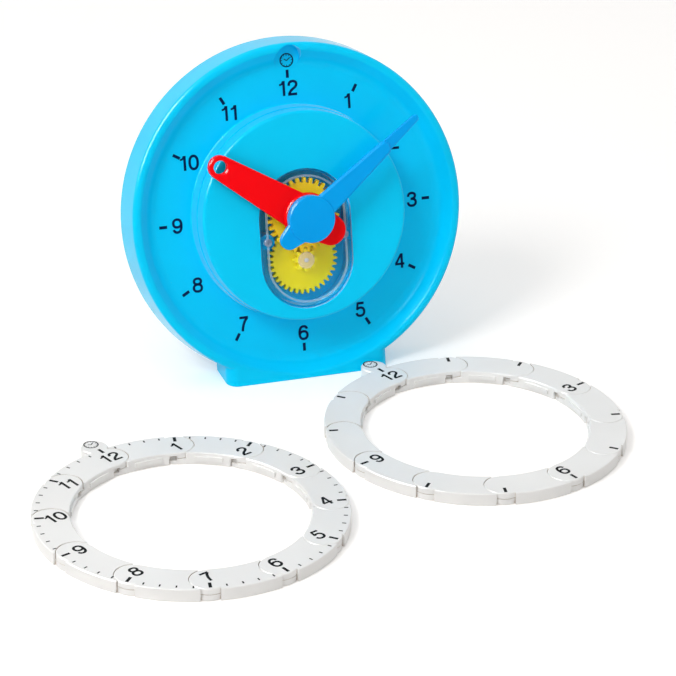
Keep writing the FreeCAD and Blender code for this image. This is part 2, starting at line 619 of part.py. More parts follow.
def gear(module, teeth, shift, low, high, hole, first_tooth, addendum="1"):
    """An involute spur gear about z, with the centre of one tooth at an angle in degrees."""
    module, teeth, shift, low, high = (size(text) for text in (module, teeth, shift, low, high))
    pressure = math.radians(SIZES["pressure_angle"])
    pitch = module * teeth / 2
    base = pitch * math.cos(pressure)
    tip = pitch + module * (size(addendum) + shift)
    root = pitch - module * (1 + size("root_clearance") - shift)
    half = (math.pi / 2 + 2 * shift * math.tan(pressure)) / teeth - size("tooth_play") / 2 / pitch

    def half_angle(radius):
        """Half of the tooth's angle at a radius on its involute."""
        turn = math.acos(min(1, base / radius))
        return half + math.tan(pressure) - pressure - (math.tan(turn) - turn)

    def point(radius, angle):
        return Vector(radius * math.cos(angle), radius * math.sin(angle), low)

    start = max(base, root)
    steps = 4
    radii = [start + (tip - start) * i / steps for i in range(steps + 1)]
    pitch_angle = 2 * math.pi / teeth
    edges = []
    for i in range(int(teeth)):
        middle = math.radians(size(first_tooth)) + i * pitch_angle
        rising = [point(radius, middle - half_angle(radius)) for radius in radii]
        falling = [point(radius, middle + half_angle(radius)) for radius in reversed(radii)]
        foot_angle = half_angle(start)
        feet = [point(root, middle - foot_angle), point(root, middle + foot_angle)]
        if start > root:
            edges.append(Part.makeLine(feet[0], rising[0]))
        for flank in (rising, falling):
            curve = Part.BSplineCurve()
            curve.interpolate(flank)
            edges.append(curve.toShape())
            if flank is rising:
                edges.append(Part.Arc(rising[-1], point(tip, middle), falling[0]).toShape())
        if start > root:
            edges.append(Part.makeLine(falling[-1], feet[1]))
        gap_middle = point(root, middle + pitch_angle / 2)
        next_foot = point(root, middle + pitch_angle - foot_angle)
        edges.append(Part.Arc(feet[1], gap_middle, next_foot).toShape())
    blank = doc.addObject("Part::Feature", "Teeth")
    blank.Shape = Part.Face(Part.Wire(edges)).extrude(Vector(0, 0, high - low))
    return cut(blank, cylinder(hole, f"{low} - 1", f"{high} + 1"))


# The minute pinion turns with the arbor. A tooth of it points down the dial into the idler wheel.
fine_pinion = gear("fine_module", "fine_pinion_teeth", "fine_shift", "fine_pinion_back",
                   "fine_pinion_front", "arbor_radius", "-90")
node("minute_pinion", fine_pinion)
node("arbor_washer", cut(cylinder("pipe_radius", "fine_pinion_front", "coarse_wheel_back - end_gap"),
                         cylinder("arbor_radius", "fine_pinion_front - 1", "coarse_wheel_back")))

# The idler: a wide wheel with a space upwards, and a small pinion with a tooth upwards
idler_bore = "idler_pin_radius + running_gap"
idler_front = "coarse_wheel_front + running_gap"
idler_wheel = gear("fine_module", "fine_wheel_teeth", "-fine_shift", "fine_wheel_back",
                   "fine_wheel_back + wheel_width", idler_bore, "90 + 180 / fine_wheel_teeth")
idler_pinion = gear("coarse_module", "coarse_pinion_teeth", "coarse_shift",
                    "fine_wheel_back + wheel_width", idler_front, idler_bore, "90", "coarse_pinion_tip")
idler_hub = cut(cylinder("idler_hub_radius", "plate_front + end_gap", "fine_wheel_back"),
                cylinder(idler_bore, "plate_front", "fine_wheel_back + 1"))
below = LEAN.multiply(Placement(Vector(0, -size("axle_distance"), 0), Rotation()))
node("idler_gear", fuse(idler_wheel, idler_pinion, idler_hub), below)
washer_low = f"{idler_front} + running_gap"
washer_high = f"{washer_low} + idler_washer_thickness"
pin_front = f"{washer_high} + idler_pin_stand"
node("idler_pin", turned([("0", "plate_back"), ("idler_pin_radius", "plate_back"),
                          ("idler_pin_radius", pin_front), ("0", pin_front)]), below)
node("idler_washer", cut(cylinder("idler_washer_radius", washer_low, washer_high),
                         cylinder("idler_pin_radius", f"{washer_low} - 1", f"{washer_high} + 1")), below)

# The hour wheel has a space downwards for the idler's pinion, and its pipe carries the hour hand
coarse_wheel = gear("coarse_module", "coarse_wheel_teeth", "-coarse_shift", "coarse_wheel_back",
                    "coarse_wheel_front", bore, "-90 + 180 / coarse_wheel_teeth")
pipe = cut(cylinder("pipe_radius", "coarse_wheel_back", "collar_front"),
           cylinder(bore, "coarse_wheel_back - 1", "collar_front + 1"))
node("hour_wheel", fuse(coarse_wheel, pipe))

# ---------------------------------------------------------------------------------------------
# Hands, drawn pointing along x and turned to the time shown
# ---------------------------------------------------------------------------------------------
hour_arm = soften_front(tapered_bar("0", "hour_hub_radius", "hour_hand_length", "hour_tip_radius",
                                    "hour_hand_back", "hour_hand_front"), "hand_edge")
hour_tail = soften_front(tapered_bar("-hour_tail_length", "hour_tail_radius", "0", "hour_hub_radius",
                                     "hour_hand_back", "hour_hand_front"), "hand_edge")
hour_collar = soften_front(turned([("0", "hour_hand_back"), ("hour_collar_radius", "hour_hand_back"),
                                   ("hour_collar_radius", "collar_front"), ("0", "collar_front")]),
                           "hand_edge")
hour_boss = cylinder("hour_boss_radius", "boss_height + bush_flange_rise + end_gap", "hour_hand_back")
hour_hole = cylinder("hour_hole_radius", "hour_hand_back - 1", "hour_hand_front + 1", x="hour_hand_length")
hole_bevel = place(solid("Cone", Radius1="hour_hole_radius", Radius2="hour_hole_radius + 2 * hour_hole_bevel",
                         Height="2 * hour_hole_bevel"), x="hour_hand_length",
                   z="hour_hand_front - hour_hole_bevel")
hour_hand = cut(fuse(hour_arm, hour_tail, hour_collar, hour_boss), hour_hole, hole_bevel,
                cylinder("pipe_radius", "boss_height", "collar_front + 1"))
node("hour_hand", hour_hand, on_dial("hour_angle"))

minute_hub = soften_front(turned([
    ("0", "minute_hub_back"), ("minute_hub_radius", "minute_hub_back"),
    ("minute_hub_radius", "minute_hub_front"), ("0", "minute_hub_front")]), "hand_edge")
minute_arm = soften_front(tapered_bar("0", "minute_root_half_width", "minute_arm_length",
                                      "minute_end_radius", "minute_arm_back", "minute_arm_front"),
                          "2 * hand_edge")
pointer = soften_front(tapered_bar("minute_arm_length", "pointer_root_radius", "pointer_length",
                                   "pointer_tip_radius", "minute_arm_back",
                                   "minute_arm_back + pointer_thickness"), "hand_edge")
minute_tail = soften_front(tapered_bar("-minute_tail_length", "minute_tail_radius", "0",
                                       "minute_tail_root", "minute_arm_back", "minute_arm_front"),
                           "hand_edge")
minute_hand = cut(fuse(minute_hub, minute_arm, pointer, minute_tail),
                  cylinder("arbor_radius", "minute_hub_back - 1", arbor_front))
node("minute_hand", minute_hand, on_dial("minute_angle"))

# ---------------------------------------------------------------------------------------------
# Number rings: twelve hinged links each
# ---------------------------------------------------------------------------------------------
# A link is drawn lying across the x axis: it starts at the hinge on its far side, turned half a
# link's angle up, and ends at the hinge turned as far down. Its upper half ends in a tongue with a
# peg over the next link, and its lower half starts in a tongue under the link before.
HALF_LINK = HOUR_ANGLE / 2
START, END = HALF_LINK, -HALF_LINK


def hinge(angle):
    """The x and y of the hinge axis at an angle from the middle of the link."""
    return f"hinge_radius * cos({angle}deg)", f"hinge_radius * sin({angle}deg)"


def seat(angle, side, low, high):
    """What a link gives up round a hinge: the tongue's seat and the inner corner that would bind.

    side is 1 where the link lies on the side of smaller angles, and -1 where it lies on the other.
    """
    x, y = hinge(angle)
    first = f"{angle + 180}deg - relief_lap * 1deg"
    if side < 0:
        first = f"{angle + 180}deg - inner_relief_angle * 1deg"
    return fuse(cylinder("link_seat_radius", low, high, x, y),
                cylinder("2 * link_seat_radius", low, high, x, y, first, "inner_relief_angle + relief_lap"))


def wall_box(angle, radius, across, low, depth, width, height):
    """A box beside a hinge, squared up with the hinge's radius, from a radius outwards."""
    opening = solid("Box", Length=depth, Width=width, Height=height)
    return place(opening, f"({radius}) * cos({angle}deg) - ({across}) * sin({angle}deg)",
                 f"({radius}) * sin({angle}deg) + ({across}) * cos({angle}deg)", low, f"{angle}deg")


def wall_openings(angle):
    """The gap in the outer wall that bares the tongues, and the small slot in the inner wall."""
    outer = wall_box(angle, "hinge_radius + outer_gap_half", "-outer_gap_half", "-1",
                     "ring_outer_radius - hinge_radius", "2 * outer_gap_half", "ring_height + 2")
    inner = wall_box(angle, "ring_inner_radius - bead_rise", "slot_offset - slot_length / 2",
                     "(ring_height - slot_height) / 2", "slot_depth + bead_rise", "slot_length",
                     "slot_height")
    return outer, inner


def link_shape(with_peg=True, with_tab=False):
    """One link of a ring, moulded in one piece with its peg, and on the last link its tab."""
    edge = "ring_edge"
    sector = turned([("ring_inner_radius", "0"), ("ring_outer_radius", "0"),
                     ("ring_outer_radius", f"ring_height - {edge}"),
                     (f"ring_outer_radius - {edge}", "ring_height"),
                     (f"ring_inner_radius + {edge}", "ring_height"),
                     ("ring_inner_radius", f"ring_height - {edge}")], f"{HOUR_ANGLE}deg")
    sector.setExpression("Placement.Rotation.Angle", None)
    start_x, start_y = hinge(START)
    end_x, end_y = hinge(END)
    hollow_angle = "2 * (15 - asin((link_seat_radius + link_wall) / hinge_radius) / 1deg)"
    hollow_turn = f"-({hollow_angle}) / 2"
    core = cut(cylinder("ring_outer_radius - link_wall", "-1", "ring_height - link_wall",
                        turn=hollow_turn, angle=hollow_angle),
               cylinder("ring_inner_radius + link_wall", "-2", "ring_height"))
    outer_gaps, inner_slots = zip(wall_openings(START), wall_openings(END))
    body = cut(sector, seat(START, 1, "layer_low", "ring_height + 1"),
               seat(END, -1, "-1", "layer_high"), core, *outer_gaps)
    upper = soften_front(turned([("0", "layer_high"), ("tongue_radius", "layer_high"),
                                 ("tongue_radius", "ring_height"), ("0", "ring_height")]), edge)
    place(upper, end_x, end_y)
    lower = cylinder("tongue_radius", "0", "layer_low", start_x, start_y)
    bead_angle = "bead_length / ring_inner_radius * 180 / pi"
    bead = cut(cylinder("ring_inner_radius + link_wall / 2", "bead_bottom", "bead_bottom + bead_height",
                        turn=f"-({bead_angle}) / 2", angle=bead_angle),
               cylinder("ring_inner_radius - bead_rise", "0", "ring_height"))
    pieces = [body, upper, lower, bead]
    if with_peg:
        pieces.append(cylinder("peg_radius", "peg_floor", "layer_high", end_x, end_y))
        pieces.append(cylinder("peg_radius + peg_head_rise", "peg_floor", "peg_floor + peg_head_height",
                               end_x, end_y))
    if with_tab:
        tab_at = (f"tab_centre_radius * cos({END}deg)", f"tab_centre_radius * sin({END}deg)")
        tab = soften_front(turned([("0", "0"), ("tab_radius", "0"), ("tab_radius", "ring_height"),
                                   ("0", "ring_height")]), edge)
        place(tab, *tab_at)
        beside = wall_box(END, "hinge_radius", "-outer_gap_half - tab_radius", "-1",
                          "ring_outer_radius + link_gap - hinge_radius", "tab_radius + link_gap",
                          "ring_height + 2")
        pieces.append(cut(tab, cylinder("ring_outer_radius + link_gap", "-1", "layer_high"), beside))
    head_room = "peg_floor + peg_head_height + link_gap"
    return cut(fuse(*pieces), cylinder("peg_radius + running_gap", "-1", "layer_high", start_x, start_y),
               cylinder("peg_radius + peg_head_rise + link_gap", "-1", head_room, start_x, start_y),
               *inner_slots)


link_pattern = link_shape()
last_pattern = link_shape(with_peg=False, with_tab=True)
doc.recompute()
front_edge = -size("foot_depth") / 2
RINGS = {"minute_ring": Vector(-size("minute_ring_left"), front_edge - size("minute_ring_front"), 0),
         "hour_ring": Vector(size("hour_ring_right"), front_edge - size("hour_ring_front"), 0)}
for ring, centre in RINGS.items():
    for hour in range(1, HOURS + 1):
        pattern = last_pattern if hour == HOURS else link_pattern
        repeat = doc.addObject("Part::Feature", ring)
        repeat.Shape = pattern.Shape
        middle = size("ring_twelve_angle") - HOUR_ANGLE * (hour - 0.5)
        node(f"{ring}_link_{hour:02d}", repeat, Placement(centre, Rotation(Z_AXIS, middle)))

# ---------------------------------------------------------------------------------------------
# Check every object, then write the sub-parts
# ---------------------------------------------------------------------------------------------
doc.recompute()
for thing in doc.Objects:
    if "Invalid" in thing.State or "Error" in thing.State:
        raise RuntimeError(f"{thing.Name} failed: {thing.State}")
for thing in nodes:
    if thing.Shape.isNull() or not thing.Shape.isValid() or not thing.Shape.Solids:
        raise RuntimeError(f"{thing.Label} has no valid solid")
for thing in nodes:
    thing.Shape.exportStep(f"parts/{thing.Label}.step")
    print(f"{thing.Label}: {len(thing.Shape.Solids)} solid(s), {thing.Shape.Volume:.1f} mm3")
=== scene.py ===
"""Geared teaching clock with two number rings: looks, prints, floor, light and camera.

Meshes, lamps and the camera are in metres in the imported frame. Sizes that are written in millimetres
are turned into metres by MM, and angles are in degrees unless a line says otherwise.
"""
import json
import math

import bpy
from mathutils import Matrix, Vector
from mathutils.bvhtree import BVHTree


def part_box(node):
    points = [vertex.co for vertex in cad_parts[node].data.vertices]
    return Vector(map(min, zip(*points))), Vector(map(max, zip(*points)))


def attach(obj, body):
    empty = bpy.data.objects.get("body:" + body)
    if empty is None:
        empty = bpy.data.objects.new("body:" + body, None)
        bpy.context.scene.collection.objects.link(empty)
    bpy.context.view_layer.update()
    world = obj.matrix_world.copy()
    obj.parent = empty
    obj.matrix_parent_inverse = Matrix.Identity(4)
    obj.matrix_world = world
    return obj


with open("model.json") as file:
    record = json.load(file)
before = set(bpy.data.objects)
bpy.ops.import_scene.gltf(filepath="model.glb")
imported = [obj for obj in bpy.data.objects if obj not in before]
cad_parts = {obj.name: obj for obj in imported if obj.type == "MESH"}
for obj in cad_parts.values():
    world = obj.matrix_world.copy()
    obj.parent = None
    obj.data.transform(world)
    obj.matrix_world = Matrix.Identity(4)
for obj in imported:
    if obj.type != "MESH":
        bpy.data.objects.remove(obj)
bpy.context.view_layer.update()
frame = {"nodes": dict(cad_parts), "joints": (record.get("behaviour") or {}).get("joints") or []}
nodes = frame["nodes"]
joints = {joint["name"]: joint for joint in frame["joints"]}

MM = 0.001
HOUR_STEP = 30


# ---------------------------------------------------------------------------------------------
# Places, worked out from the frame's joints
# ---------------------------------------------------------------------------------------------
def pivot(joint):
    """A joint's place in millimetres."""
    return Vector(joints[joint]["pos_m"]) / MM


def direction(angle):
    """The unit vector at an angle in a plane, counted from its X."""
    return Vector((math.cos(math.radians(angle)), math.sin(math.radians(angle))))


def ring_place(ring, hour, opposite_hour):
    """A ring's centre and the angle of its 12, from two hinges that face each other across it."""
    near, far = (pivot(f"{ring}_ring_hinge_{h:02d}").to_2d() for h in (hour, opposite_hour))
    spoke = near - far
    return (near + far) / 2, math.degrees(math.atan2(spoke.y, spoke.x)) + HOUR_STEP * hour


# The dial leans back. Its normal points at the viewer, and the hands turn on its centre.
DIAL_CENTRE = pivot("minute_turn")
DIAL_NORMAL = -Vector(joints["minute_turn"]["axis"]).normalized()
DIAL_UP = DIAL_NORMAL.cross(Vector((1, 0, 0)))
AXLE_DISTANCE = (pivot("idler_turn") - DIAL_CENTRE).length
RING_PLACES = {"minute": ring_place("minute", 4, 10), "hour": ring_place("hour", 2, 8)}
# The hinges are at half the height of the links
RING_TOP = 2 * pivot("minute_ring_hinge_04").z


def dial_point(u, v, h):
    """A point of the leaning dial in metres: u to the right, v up along it, h above it."""
    return (DIAL_CENTRE + Vector((u, 0, 0)) + DIAL_UP * v + DIAL_NORMAL * h) * MM


# ---------------------------------------------------------------------------------------------
# Materials
# ---------------------------------------------------------------------------------------------
# Scales of the noises that give a moulded piece its drift of colour, uneven gloss and fine skin
DRIFT_SCALE = 14
GLOSS_SCALE = 60
SKIN_SCALE = 900
# Heights above the dial in millimetres, each from where to where a look changes
# Below the disc's height, the well and ledge under the window get a painted shade
LEDGE_TO_DISC = (19.2, 19.6)
# Above these heights the pinion is painted lighter than its wheel, as painted light
WHEEL_TO_PINION = (12, 13)
PANE_TO_RIDGE = (21.7, 22.2)
# How far beyond the window's edge, in millimetres, the painted shade under it starts and ends
WELL_SHADE_EDGE = (-0.1, 0.6)


def linear(rgb):
    """A colour written as 0 to 255 sRGB, as linear light."""
    return tuple((c / 255 / 12.92 if c / 255 <= 0.04045 else ((c / 255 + 0.055) / 1.055) ** 2.4)
                 for c in rgb)


class Shader:
    """A Principled material with object coordinates and a few short ways to add nodes."""

    def __init__(self, name):
        self.material = bpy.data.materials.new(name)
        self.material.use_nodes = True
        self.tree = self.material.node_tree
        self.main = self.tree.nodes["Principled BSDF"]
        self.coordinates = self.tree.nodes.new("ShaderNodeTexCoord").outputs["Object"]

    def set(self, **sockets):
        """Sets sockets of the Principled node, written with underscores for spaces."""
        for name, value in sockets.items():
            self.main.inputs[name.replace("_", " ")].default_value = value

    def link(self, output, socket):
        self.tree.links.new(output, socket)

    def noise(self, scale, detail=2.0, stretch=None):
        node = self.tree.nodes.new("ShaderNodeTexNoise")
        node.inputs["Scale"].default_value = scale
        node.inputs["Detail"].default_value = detail
        source = self.coordinates
        if stretch:
            mapping = self.tree.nodes.new("ShaderNodeMapping")
            mapping.inputs["Scale"].default_value = stretch
            self.link(source, mapping.inputs["Vector"])
            source = mapping.outputs["Vector"]
        self.link(source, node.inputs["Vector"])
        return node.outputs["Fac"]

    def between(self, factor, low, high, span=(0.3, 0.7)):
        """A number that goes from low to high as the factor, often a noise, goes over its span."""
        node = self.tree.nodes.new("ShaderNodeMapRange")
        node.inputs["From Min"].default_value = span[0]
        node.inputs["From Max"].default_value = span[1]
        node.inputs["To Min"].default_value = low
        node.inputs["To Max"].default_value = high
        self.link(factor, node.inputs["Value"])
        return node.outputs["Result"]

    def colours(self, factor, low, high):
        """A colour that follows a noise from low to high, both as 0 to 255 sRGB."""
        ramp = self.tree.nodes.new("ShaderNodeValToRGB")
        ramp.color_ramp.elements[0].position = 0.3
        ramp.color_ramp.elements[1].position = 0.7
        ramp.color_ramp.elements[0].color = (*linear(low), 1)
        ramp.color_ramp.elements[1].color = (*linear(high), 1)
        self.link(factor, ramp.inputs["Fac"])
        return ramp.outputs["Color"]

    def drift(self, low, high):
        """The slow drift between two close colours that a moulding has."""
        return self.colours(self.noise(DRIFT_SCALE, 3), low, high)

    def blend(self, factor, first, second):
        """The first colour where the factor is 0 and the second where it is 1."""
        node = self.tree.nodes.new("ShaderNodeMix")
        node.data_type = "RGBA"
        self.link(factor, node.inputs["Factor"])
        for colour, socket in ((first, node.inputs["A"]), (second, node.inputs["B"])):
            if isinstance(colour, bpy.types.NodeSocket):
                self.link(colour, socket)
            else:
                socket.default_value = (*linear(colour), 1)
        return node.outputs["Result"]

    def calculate(self, operation, *values):
        """A Math node on numbers or other nodes' outputs."""
        node = self.tree.nodes.new("ShaderNodeMath")
        node.operation = operation
        for value, socket in zip(values, node.inputs):
            if isinstance(value, bpy.types.NodeSocket):
                self.link(value, socket)
            else:
                socket.default_value = value
        return node.outputs[0]

    def along(self, vector, source=None):
        """How far the object coordinates, or another vector, reach along a unit vector."""
        node = self.tree.nodes.new("ShaderNodeVectorMath")
        node.operation = "DOT_PRODUCT"
        node.inputs[1].default_value = vector
        self.link(self.coordinates if source is None else source, node.inputs[0])
        return node.outputs["Value"]

    def above_dial(self, low, high):
        """A number from 0 to 1 as the height above the dial goes from low to high millimetres."""
        base = DIAL_CENTRE.dot(DIAL_NORMAL)
        return self.between(self.along(DIAL_NORMAL), 0, 1, ((base + low) * MM, (base + high) * MM))

    def surface(self, height, depth, edge=0.0):
        """Bump of a given depth in millimetres, over edges softened by a radius in millimetres."""
        bump = self.tree.nodes.new("ShaderNodeBump")
        bump.inputs["Distance"].default_value = depth * MM
        bump.inputs["Strength"].default_value = 1.0
        self.link(height, bump.inputs["Height"])
        if edge:
            bevel = self.tree.nodes.new("ShaderNodeBevel")
            bevel.samples = 4
            bevel.inputs["Radius"].default_value = edge * MM
            self.link(bevel.outputs["Normal"], bump.inputs["Normal"])
        self.link(bump.outputs["Normal"], self.main.inputs["Normal"])

    def moulded(self, colour, rough, edge, depth=0.004, **sockets):
        """The material, finished as a moulding: its colour, an uneven gloss and a very fine skin."""
        self.link(colour, self.main.inputs["Base Color"])
        self.link(self.between(self.noise(GLOSS_SCALE, 3), *rough), self.main.inputs["Roughness"])
        self.surface(self.noise(SKIN_SCALE, 2), depth, edge)
        self.set(**sockets)
        return self.material


def plastic(name, low, high, rough=(0.2, 0.28), edge=0.35, depth=0.004, **sockets):
    """Moulded plastic in one colour."""
    s = Shader(name)
    return s.moulded(s.drift(low, high), rough, edge, depth, **sockets)


def ring_plastic(name):
    """White moulded plastic, with a painted warm shade in its slots and seams."""
    s = Shader(name)
    # Ambient occlusion paints a warm shade into the slots and seams, where light falls less
    crevice_shade = s.tree.nodes.new("ShaderNodeAmbientOcclusion")
    crevice_shade.samples = 8
    crevice_shade.inputs["Distance"].default_value = 3.5 * MM
    unshaded_share = s.between(crevice_shade.outputs["AO"], 0.0, 1.0, (0.0, 0.4))
    # Painted shade colour in the crevices, the plastic's own white elsewhere
    colour = s.blend(unshaded_share, (188, 158, 122), s.drift((230, 229, 227), (236, 235, 233)))
    return s.moulded(colour, (0.28, 0.4), 0.25, Specular_IOR_Level=0.25)


def gear_plastic(name, wheel, pinion):
    """Matt moulded plastic of a wheel, with its raised pinion painted lighter as painted light and the lower
    wheel darker as painted shade.
    """
    s = Shader(name)
    # Painted light and shade: the colour turns lighter from the wheel up to the pinion
    colour = s.blend(s.above_dial(*WHEEL_TO_PINION), s.drift(*wheel), s.drift(*pinion))
    return s.moulded(colour, (0.3, 0.4), 0.15, Specular_IOR_Level=0.3)


def moulding_round_window(name, open_blue, well_shade_blue):
    """The case's plastic, with a painted shade where the clear window covers its well and ledge."""
    s = Shader(name)
    # The window is a stadium, so its reach is the distance from the line between the two axles
    middle = (DIAL_CENTRE.dot(DIAL_UP) - AXLE_DISTANCE / 2) * MM
    off_middle = s.calculate("ABSOLUTE", s.calculate("SUBTRACT", s.along(DIAL_UP), middle))
    beyond = s.calculate("MAXIMUM", s.calculate("SUBTRACT", off_middle, AXLE_DISTANCE / 2 * MM), 0.0)
    across = s.calculate("ABSOLUTE", s.along(Vector((1, 0, 0))))
    square = s.calculate("ADD", s.calculate("POWER", beyond, 2.0), s.calculate("POWER", across, 2.0))
    half_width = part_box("window")[1].x
    inside = s.between(s.calculate("SQRT", square), 1, 0, [half_width + e * MM for e in WELL_SHADE_EDGE])
    under = s.calculate("SUBTRACT", 1.0, s.above_dial(*LEDGE_TO_DISC))
    # Painted shade: the darker blue is used under the window, below the disc
    window_shade = s.calculate("MULTIPLY", inside, under)
    return s.moulded(s.blend(window_shade, s.drift(*open_blue), s.drift(*well_shade_blue)), CASE_ROUGH, 0, **CASE_GLOSS)


def window_material():
    """Clear moulded plastic: almost unseen on its flat face, paler on its ridge and its edges."""
    s = Shader("clear_window")
    s.link(s.colours(s.noise(20, 2), (206, 230, 242), (216, 236, 246)), s.main.inputs["Base Color"])
    s.link(s.between(s.noise(90, 2), 0.03, 0.07), s.main.inputs["Roughness"])
    s.surface(s.noise(60, 1), 0.01, 0.15)
    facing = s.along(DIAL_NORMAL, s.tree.nodes.new("ShaderNodeNewGeometry").outputs["Normal"])
    flat = s.between(s.calculate("ABSOLUTE", facing), 0, 1, (0.8, 0.99))
    clear = s.calculate("MAXIMUM", s.calculate("SUBTRACT", flat, s.above_dial(*PANE_TO_RIDGE)), 0.0)
    s.link(s.between(clear, 0.5, 0.08, (0, 1)), s.main.inputs["Alpha"])
    s.link(s.between(clear, 0.35, 0.9, (0, 1)), s.main.inputs["Transmission Weight"])
    s.set(IOR=1.05, Specular_IOR_Level=0.3, Coat_Weight=0.25, Coat_IOR=1.45, Coat_Roughness=0.04)
    return s.material


def steel(name, low=(176, 178, 182), high=(206, 207, 208)):
    """Plated steel: fine marks along the turning direction."""
    s = Shader(name)
    s.link(s.colours(s.noise(300, 3), low, high), s.main.inputs["Base Color"])
    s.link(s.between(s.noise(1500, 2, (1, 1, 6)), 0.24, 0.38), s.main.inputs["Roughness"])
    s.surface(s.noise(2500, 2, (1, 1, 5)), 0.004, 0.1)
    s.set(Metallic=1.0)
    return s.material


def ink(name, low, high):
    """Pad-printed ink: thin, nearly matt, slightly uneven."""
    s = Shader(name)
    s.link(s.colours(s.noise(500, 3), low, high), s.main.inputs["Base Color"])
    s.link(s.between(s.noise(800, 2), 0.4, 0.55), s.main.inputs["Roughness"])
    s.surface(s.noise(3000, 2), 0.002)
    s.set(Specular_IOR_Level=0.06)
    return s.material


CASE_BLUE = ((0, 202, 248), (0, 209, 254))
CASE_ROUGH = (0.16, 0.21)
CASE_GLOSS = {"Specular_IOR_Level": 0.07, "Sheen_Weight": 0.3, "Sheen_Roughness": 0.35}
HAND_FINISH = {"rough": (0.16, 0.22), "edge": 0.5, "Specular_IOR_Level": 0.07}

case_blue = plastic("case_blue", *CASE_BLUE, rough=CASE_ROUGH, edge=0, **CASE_GLOSS)
# The second pair of colours is the painted shade of the well and ledge under the window
disc_blue = moulding_round_window("disc_blue", CASE_BLUE, ((0, 160, 220), (0, 170, 230)))
cover_blue = plastic("cover_blue", (0, 190, 240), (0, 198, 246), rough=(0.42, 0.52), depth=0.012,
                     Specular_IOR_Level=0.15)
inner_blue = plastic("inner_blue", (0, 188, 244), (0, 198, 250), rough=(0.4, 0.5), depth=0.01,
                     Specular_IOR_Level=0.3)
gear_yellow = plastic("gear_yellow", (252, 212, 0), (255, 220, 0), rough=(0.3, 0.4), edge=0.15,
                      Specular_IOR_Level=0.3)
# The second pair is the pinion's colour, painted lighter for the light it catches
idler_yellow = gear_plastic("idler_yellow", ((237, 217, 0), (243, 225, 0)),
                            ((252, 236, 20), (255, 242, 50)))
hand_red = plastic("hand_red", (253, 0, 8), (255, 0, 14), **HAND_FINISH)
hand_blue = plastic("hand_blue", (0, 160, 238), (0, 168, 244), **HAND_FINISH)
ring_white = ring_plastic("ring_white")
washer_clear = plastic("washer_clear", (248, 224, 208), (252, 230, 218), rough=(0.2, 0.3), edge=0.1,
                       Alpha=0.26)
bearing_white = plastic("bearing_white", (222, 222, 214), (236, 236, 230), rough=(0.3, 0.4),
                        edge=0.15)
pin_steel = steel("pin_steel")
screw_steel = steel("screw_steel", (112, 128, 150), (150, 160, 178))
dial_ink = ink("dial_ink", (0, 22, 66), (0, 32, 80))
ring_ink = ink("ring_ink", (18, 18, 18), (30, 30, 30))

# The rings' links are white, and the pins, screws and springs not named here are plated steel
FINISHES = {
    "front_case_rim": case_blue, "front_case_dial": case_blue, "front_case_disc": disc_blue,
    "rear_cover": cover_blue, "gear_plate": inner_blue,
    "window_bush": case_blue, "window": window_material(), "arbor_bush": bearing_white,
    "arbor_washer": bearing_white, "idler_washer": washer_clear, "minute_pinion": gear_yellow,
    "idler_gear": idler_yellow, "hour_wheel": gear_yellow, "hour_hand": hand_red,
    "minute_hand": hand_blue, "window_screws": screw_steel,
}
for node_name, piece in nodes.items():
    finish = ring_white if "_ring_link_" in node_name else FINISHES.get(node_name, pin_steel)
    piece.data.materials.clear()
    piece.data.materials.append(finish)


# ---------------------------------------------------------------------------------------------
# Numerals, drawn as strokes
# ---------------------------------------------------------------------------------------------
def bezier(start, *spans, steps=12):
    """Points along joined cubic spans; each span gives two handles and an end."""
    points = [Vector(start)]
    for a, b, end in spans:
        p, q, r, s = points[-1], Vector(a), Vector(b), Vector(end)
        for i in range(1, steps + 1):
            t = i / steps
            points.append(p * (1 - t) ** 3 + q * 3 * t * (1 - t) ** 2 + r * 3 * t * t * (1 - t)
                          + s * t ** 3)
    return points


def straight(start, end):
    return [Vector(start), Vector(end)]


def loop(centre, rx, ry, power=2.25, steps=44):
    """A closed oval, round at a power of 2 and squarer above it."""
    points = []
    for i in range(steps):
        a = 2 * math.pi * i / steps
        c, s = math.cos(a), math.sin(a)
        points.append(Vector((centre[0] + rx * math.copysign(abs(c) ** (2 / power), c),
                              centre[1] + ry * math.copysign(abs(s) ** (2 / power), s))))
    return points


# Numerals are drawn one unit high and this wide, and then widened and thickened by the two factors
GLYPH_SPAN = 0.56
GLYPH_WIDTH = 1.28
GLYPH_WEIGHT = 1.36
# The room that a numeral takes in a row, as shares of its height
GLYPH_ADVANCE = 0.75
ONE_ADVANCE = 0.62


def half_turned(points):
    """The stroke turned by 180 degrees about the middle of its numeral."""
    return [Vector((GLYPH_SPAN - p.x, 1 - p.y)) for p in points]


SIX = bezier((0.482, 0.735), ((0.462, 0.87), (0.395, 0.936), (0.295, 0.936)),
             ((0.13, 0.936), (0.066, 0.74), (0.066, 0.46)),
             ((0.066, 0.2), (0.13, 0.064), (0.285, 0.064)),
             ((0.42, 0.064), (0.494, 0.18), (0.494, 0.325)),
             ((0.494, 0.48), (0.42, 0.585), (0.29, 0.585)),
             ((0.17, 0.585), (0.075, 0.5), (0.07, 0.37)))
